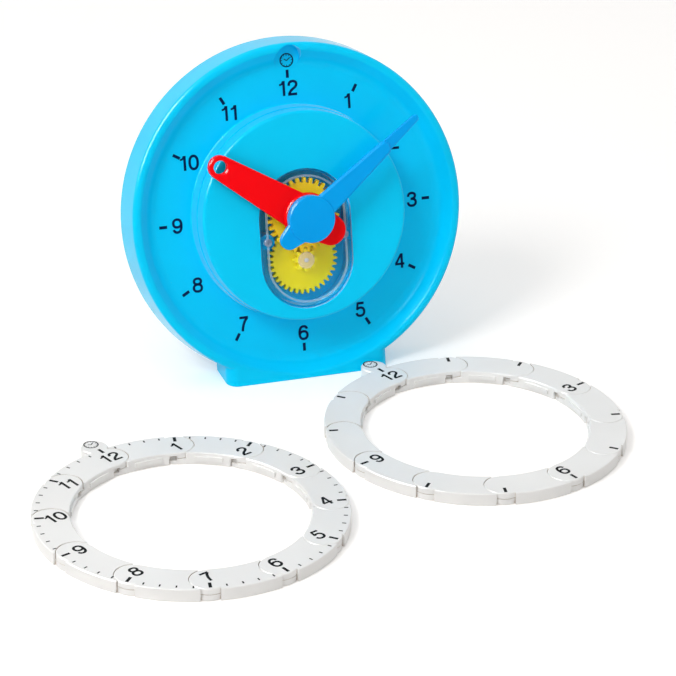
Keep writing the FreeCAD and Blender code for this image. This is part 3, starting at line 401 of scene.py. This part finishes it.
# The strokes of each numeral: (points, width, whether it is closed)
NUMERALS = {
    "0": [(loop((0.28, 0.5), 0.216, 0.436), 0.128, True)],
    "1": [(straight((0.335, 0.0), (0.335, 1.0)), 0.13, False),
          (bezier((0.09, 0.752), ((0.2, 0.752), (0.27, 0.8), (0.3, 0.975))), 0.1, False)],
    "2": [(bezier((0.078, 0.645), ((0.078, 0.84), (0.15, 0.936), (0.285, 0.936)),
                  ((0.42, 0.936), (0.49, 0.85), (0.49, 0.725)),
                  ((0.49, 0.47), (0.13, 0.42), (0.085, 0.06))), 0.128, False),
          (straight((0.018, 0.064), (0.512, 0.064)), 0.128, False)],
    "3": [(bezier((0.082, 0.69), ((0.082, 0.86), (0.16, 0.936), (0.275, 0.936)),
                  ((0.4, 0.936), (0.466, 0.86), (0.466, 0.755)),
                  ((0.466, 0.62), (0.38, 0.54), (0.21, 0.54))), 0.126, False),
          (bezier((0.21, 0.54), ((0.4, 0.54), (0.494, 0.45), (0.494, 0.305)),
                  ((0.494, 0.16), (0.41, 0.064), (0.275, 0.064)),
                  ((0.14, 0.064), (0.062, 0.15), (0.066, 0.32))), 0.126, False)],
    "4": [(straight((0.393, 0.0), (0.393, 1.0)), 0.124, False),
          (straight((0.37, 0.965), (0.055, 0.3)), 0.112, False),
          (straight((0.015, 0.285), (0.535, 0.285)), 0.116, False)],
    "5": [(straight((0.125, 0.936), (0.488, 0.936)), 0.126, False),
          (bezier((0.15, 0.99), ((0.135, 0.8), (0.12, 0.65), (0.1, 0.49))), 0.11, False),
          (bezier((0.09, 0.5), ((0.15, 0.59), (0.21, 0.62), (0.285, 0.62)),
                  ((0.42, 0.62), (0.494, 0.51), (0.494, 0.35)),
                  ((0.494, 0.17), (0.41, 0.064), (0.27, 0.064)),
                  ((0.15, 0.064), (0.078, 0.14), (0.068, 0.28))), 0.126, False)],
    "6": [(SIX, 0.126, False)],
    "7": [(straight((0.045, 0.934), (0.515, 0.934)), 0.13, False),
          (bezier((0.468, 0.9), ((0.32, 0.72), (0.215, 0.42), (0.19, 0.0))), 0.13, False)],
    "8": [(loop((0.28, 0.745), 0.186, 0.192), 0.124, True),
          (loop((0.28, 0.302), 0.214, 0.238), 0.124, True)],
    "9": [(half_turned(SIX), 0.126, False)],
}


# ---------------------------------------------------------------------------------------------
# Prints of the dial and the rings, in millimetres
# ---------------------------------------------------------------------------------------------
# How far the ink stands off its surface, and how far above the dial the search for its surface starts
INK_STAND = 0.04
SEARCH_FROM = 30
TICK_WIDTH = 2.0
SIGN_LINE = 0.85


class Print:
    """Flat ink shapes in a plane of millimetres, later laid on a surface."""

    def __init__(self):
        self.points = []
        self.faces = []

    def stroke(self, line, width, closed=False):
        """A ribbon of constant width along a line of points."""
        count = len(line)
        first = len(self.points)
        for i, p in enumerate(line):
            before = line[i - 1] if closed or i else line[0]
            after = line[(i + 1) % count] if closed or i < count - 1 else line[-1]
            ahead, behind = (after - p), (p - before)
            ahead = ahead.normalized() if ahead.length > 1e-9 else behind.normalized()
            behind = behind.normalized() if behind.length > 1e-9 else ahead
            along = (ahead + behind).normalized()
            side = Vector((-along.y, along.x)) * (width / 2 / max(0.5, along.dot(ahead)))
            self.points += [p + side, p - side]
        for i in range(count if closed else count - 1):
            a, b = first + 2 * i, first + 2 * ((i + 1) % count)
            self.faces.append((a, b, b + 1, a + 1))

    def number(self, text, height, centre, angle=0):
        """A number turned by an angle, with its middle on centre."""
        widths = [(ONE_ADVANCE if numeral == "1" else GLYPH_ADVANCE) * height for numeral in text]
        turn = Matrix.Rotation(math.radians(angle), 2)
        x = -sum(widths) / 2
        for numeral, advance in zip(text, widths):
            crevice_shade = Vector((x + (advance - GLYPH_SPAN * GLYPH_WIDTH * height) / 2, -height / 2))
            for line, width, closed in NUMERALS[numeral]:
                flat = [Vector((p.x * GLYPH_WIDTH, p.y)) * height + crevice_shade for p in line]
                self.stroke([turn @ p + centre for p in flat], width * GLYPH_WEIGHT * height, closed)
            x += advance

    def tick(self, angle, radius, length, width, centre):
        """A short bar that points at the centre, in steps so that it can follow a curved face."""
        steps = 10
        self.stroke([centre + direction(angle) * (radius + length * (i / steps - 0.5))
                     for i in range(steps + 1)], width)

    def clock_sign(self, centre, radius, angle=0):
        """The small round clock sign: a circle, twelve marks and two hands."""
        turn = Matrix.Rotation(math.radians(angle), 2)
        edge = radius - SIGN_LINE / 2
        self.stroke([turn @ p + centre for p in loop((0, 0), edge, edge, 2)], SIGN_LINE, True)
        for i in range(12):
            mark = direction(HOUR_STEP * i) * radius
            inner = 0.62 if i % 3 == 0 else 0.68
            self.stroke([turn @ (mark * inner) + centre, turn @ (mark * 0.8) + centre],
                        SIGN_LINE * 0.62)
        middle = Vector((0, -0.06)) * radius
        for end in (Vector((-0.36, 0.2)) * radius, Vector((0.5, 0.34)) * radius):
            self.stroke([turn @ middle + centre, turn @ end + centre], SIGN_LINE * 0.8)

    def lay(self, name, material, place, body):
        """Makes the mesh, with each point where place puts it, and lets it ride on its body."""
        mesh = bpy.data.meshes.new(name)
        mesh.from_pydata([place(p) for p in self.points], [], self.faces)
        mesh.update()
        mesh.materials.append(material)
        made = bpy.data.objects.new(name, mesh)
        bpy.context.scene.collection.objects.link(made)
        if sum((f.normal.z - f.normal.y) for f in mesh.polygons) < 0:
            mesh.flip_normals()
        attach(made, body)


case_points, case_faces = [], []
for case_part in ("rim", "dial", "disc"):
    case_mesh = nodes["front_case_" + case_part].data
    first = len(case_points)
    case_points += [v.co.copy() for v in case_mesh.vertices]
    case_faces += [tuple(first + i for i in p.vertices) for p in case_mesh.polygons]
case_tree = BVHTree.FromPolygons(case_points, case_faces)


def laid_on_dial(p):
    """The point straight above p on the case's front, a little proud of it."""
    hit = case_tree.ray_cast(dial_point(p.x, p.y, SEARCH_FROM), -DIAL_NORMAL)[0]
    return hit + DIAL_NORMAL * INK_STAND * MM


def laid_on_ring(p):
    """The point p on the flat top of a ring, a little proud of it."""
    return Vector((p.x, p.y, RING_TOP + INK_STAND)) * MM


# The dial's prints sit a little off the centre of the hands
DIAL_PRINT_CENTRE = Vector((0.3, -1.0))
DIAL_NUMBER_RADIUS = 81.0
DIAL_NUMBER_HEIGHT = 9.8
DIAL_TICK_RADIUS = 90.6
DIAL_TICK_LENGTH = 5.3
DIAL_SIGN_PLACE = Vector((0, 100.9))
DIAL_SIGN_RADIUS = 4.7
# How much further out the tick and the number of the 12 are, and how far off its place the 2 is
DIAL_TWELVE_OUT = (1.4, 1.6)
DIAL_TWO_SHIFT = Vector((1.0, -0.5))


def print_hour(prints, hour):
    """The tick and the number of one hour of the dial."""
    angle = 90 - HOUR_STEP * hour
    tick_out, number_out = DIAL_TWELVE_OUT if hour == 12 else (0, 0)
    prints.tick(angle, DIAL_TICK_RADIUS + tick_out, DIAL_TICK_LENGTH, TICK_WIDTH, DIAL_PRINT_CENTRE)
    place = DIAL_PRINT_CENTRE + direction(angle) * (DIAL_NUMBER_RADIUS + number_out)
    if hour == 2:
        place += DIAL_TWO_SHIFT
    prints.number(str(hour), DIAL_NUMBER_HEIGHT, place)


dial_print = Print()
for dial_hour in (1, *range(3, 13)):
    print_hour(dial_print, dial_hour)
dial_print.clock_sign(DIAL_PRINT_CENTRE + DIAL_SIGN_PLACE, DIAL_SIGN_RADIUS)
dial_print.lay("dial_print", dial_ink, laid_on_dial, "case")

# The 2 is mostly under the minute hand, so it is a piece of its own
two_print = Print()
print_hour(two_print, 2)
two_print.lay("dial_print_two", dial_ink, laid_on_dial, "case")

RING_NUMBER_RADIUS = 82.0
RING_NUMBER_HEIGHT = 10.0
RING_TICK_RADIUS = 92.0
RING_TICK_LENGTH = 5.8
RING_SIGN_PLACE = 105.6
RING_SIGN_RADIUS = 4.9
# How much further out the tick and the number of the 12 are
RING_TWELVE_OUT = (2.6, 2.2)
MINUTE_STEP = 6
MINUTE_TICK_RADIUS = 93.4
MINUTE_TICK_LENGTH = 2.5
MINUTE_TICK_WIDTH = 1.0
# The first minute tick after each hour tick is printed a little further out
FIRST_MINUTE_OUT = 0.3
# Links that are one body, because no hinge between them is modelled
JOINED_LINKS = {"minute": ("minute_links_3_and_4", (3, 4)), "hour": ("hour_links_9_to_12", range(9, 13))}


def print_ring(ring, numbered, minutes):
    """One print for each link: its tick, its number if it is numbered, and its minute ticks."""
    centre, twelve_angle = RING_PLACES[ring]
    turn = twelve_angle - 90
    joined_body, joined_hours = JOINED_LINKS[ring]
    for hour in range(1, 13):
        prints = Print()
        angle = twelve_angle - HOUR_STEP * hour
        outwards = direction(angle)
        tick_out, number_out = RING_TWELVE_OUT if hour == 12 else (0, 0)
        prints.tick(angle, RING_TICK_RADIUS + tick_out, RING_TICK_LENGTH, TICK_WIDTH, centre)
        if hour in numbered:
            place = centre + outwards * (RING_NUMBER_RADIUS + number_out)
            prints.number(str(hour), RING_NUMBER_HEIGHT, place, turn)
        for minute in minutes:
            out = FIRST_MINUTE_OUT if minute == 1 else 0
            prints.tick(angle + HOUR_STEP - MINUTE_STEP * minute, MINUTE_TICK_RADIUS + out,
                        MINUTE_TICK_LENGTH, MINUTE_TICK_WIDTH, centre)
        if hour == 12:
            prints.clock_sign(centre + outwards * RING_SIGN_PLACE, RING_SIGN_RADIUS, turn)
        link = f"{ring}_link_{hour:02d}"
        prints.lay(link + "_print", ring_ink, laid_on_ring,
                   joined_body if hour in joined_hours else link)


print_ring("minute", numbered=range(1, 13), minutes=range(1, 5))
print_ring("hour", numbered=(3, 6, 9, 12), minutes=())


# ---------------------------------------------------------------------------------------------
# Floor and surroundings
# ---------------------------------------------------------------------------------------------
PAPER = (0.86, 0.84, 0.82, 1)
WHITE = (1, 1, 1, 1)
# Light that the paper gives off by itself, and that the surroundings give off where they aren't seen
PAPER_LIFT = 0.27
SHADOW_FILL = 0.61


def seen_rays(tree):
    """1 for rays from the camera and for mirrored or refracted ones, 0 for light that fills."""
    path = tree.nodes.new("ShaderNodeLightPath")
    result = path.outputs["Is Camera Ray"]
    for name in ("Is Glossy Ray", "Is Transmission Ray"):
        larger = tree.nodes.new("ShaderNodeMath")
        larger.operation = "MAXIMUM"
        tree.links.new(result, larger.inputs[0])
        tree.links.new(path.outputs[name], larger.inputs[1])
        result = larger.outputs[0]
    return result


def floor_material():
    """Matt white paper that reads as a white ground and keeps its shadows."""
    material = bpy.data.materials.new("studio_floor")
    material.use_nodes = True
    tree = material.node_tree
    tree.nodes.clear()
    paper = tree.nodes.new("ShaderNodeBsdfDiffuse")
    paper.inputs["Color"].default_value = PAPER
    lift = tree.nodes.new("ShaderNodeEmission")
    lift.inputs["Color"].default_value = WHITE
    amount = tree.nodes.new("ShaderNodeMath")
    amount.operation = "MULTIPLY"
    amount.inputs[1].default_value = PAPER_LIFT
    tree.links.new(seen_rays(tree), amount.inputs[0])
    tree.links.new(amount.outputs[0], lift.inputs["Strength"])
    both = tree.nodes.new("ShaderNodeAddShader")
    tree.links.new(paper.outputs[0], both.inputs[0])
    tree.links.new(lift.outputs[0], both.inputs[1])
    output = tree.nodes.new("ShaderNodeOutputMaterial")
    tree.links.new(both.outputs[0], output.inputs["Surface"])
    return material


# In metres: half the floor's width, and how far it lies under the foot so that the two don't mix
FLOOR_HALF = 8
FLOOR_DROP = 0.0002
floor_mesh = bpy.data.meshes.new("floor")
floor_mesh.from_pydata([(-FLOOR_HALF, -FLOOR_HALF, 0), (FLOOR_HALF, -FLOOR_HALF, 0),
                        (FLOOR_HALF, FLOOR_HALF, 0), (-FLOOR_HALF, FLOOR_HALF, 0)],
                       [], [(0, 1, 2, 3)])
floor_mesh.materials.append(floor_material())
floor = bpy.data.objects.new("floor", floor_mesh)
floor.location = (0, 0, -FLOOR_DROP)
bpy.context.scene.collection.objects.link(floor)

# White where it is seen, and dimmer where it only fills the shadows
world = bpy.data.worlds.new("studio")
bpy.context.scene.world = world
world.use_nodes = True
background = world.node_tree.nodes["Background"]
background.inputs["Color"].default_value = WHITE
level = world.node_tree.nodes.new("ShaderNodeMapRange")
level.inputs["To Min"].default_value = SHADOW_FILL
level.inputs["To Max"].default_value = 1.0
world.node_tree.links.new(seen_rays(world.node_tree), level.inputs["Value"])
world.node_tree.links.new(level.outputs["Result"], background.inputs["Strength"])


# ---------------------------------------------------------------------------------------------
# Lamps and camera
# ---------------------------------------------------------------------------------------------
def lamp(name, place, target, width, height, watts):
    """An area lamp at a place, turned to a target, all in metres."""
    data = bpy.data.lights.new(name, "AREA")
    data.shape = "RECTANGLE"
    data.size, data.size_y, data.energy = width, height, watts
    made = bpy.data.objects.new(name, data)
    made.location = place
    made.rotation_euler = (Vector(target) - Vector(place)).to_track_quat("-Z", "Y").to_euler()
    bpy.context.scene.collection.objects.link(made)
    return made


lamp("key_lamp", (-1.5, -0.9, 1.8), (0, 0, 0.08), 0.8, 0.8, 26)
lamp("top_lamp", (-0.4, 0.2, 2.2), (0, 0, 0.05), 1.4, 1.0, 5)
# This one gives reflections alone
glint = lamp("glint_lamp", (-1.5, -0.15, 1.3), (0, 0, 0.1), 0.7, 1.4, 350)
glint.visible_diffuse = False

CAMERA_PLACE = Vector((-0.5809, -1.7668, 0.9115))
CAMERA_FORWARD = Vector((0.2923, 0.8537, -0.4311)).normalized()
CAMERA_ROLL = math.radians(1.14)
CAMERA_LENS = 165.3
level_right = CAMERA_FORWARD.cross(Vector((0, 0, 1))).normalized()
level_up = level_right.cross(CAMERA_FORWARD)
right = level_right * math.cos(CAMERA_ROLL) + level_up * math.sin(CAMERA_ROLL)
up = right.cross(CAMERA_FORWARD)
camera_data = bpy.data.cameras.new("camera")
camera_data.sensor_width = 36.0
camera_data.lens = CAMERA_LENS
camera_data.clip_start = 0.05
camera_data.clip_end = 30.0
camera = bpy.data.objects.new("camera", camera_data)
camera.matrix_world = Matrix((
    (right.x, up.x, -CAMERA_FORWARD.x, CAMERA_PLACE.x),
    (right.y, up.y, -CAMERA_FORWARD.y, CAMERA_PLACE.y),
    (right.z, up.z, -CAMERA_FORWARD.z, CAMERA_PLACE.z),
    (0, 0, 0, 1),
))
bpy.context.scene.collection.objects.link(camera)
bpy.context.scene.camera = camera
bpy.context.scene.view_settings.view_transform = "Standard"

bpy.context.view_layer.update()
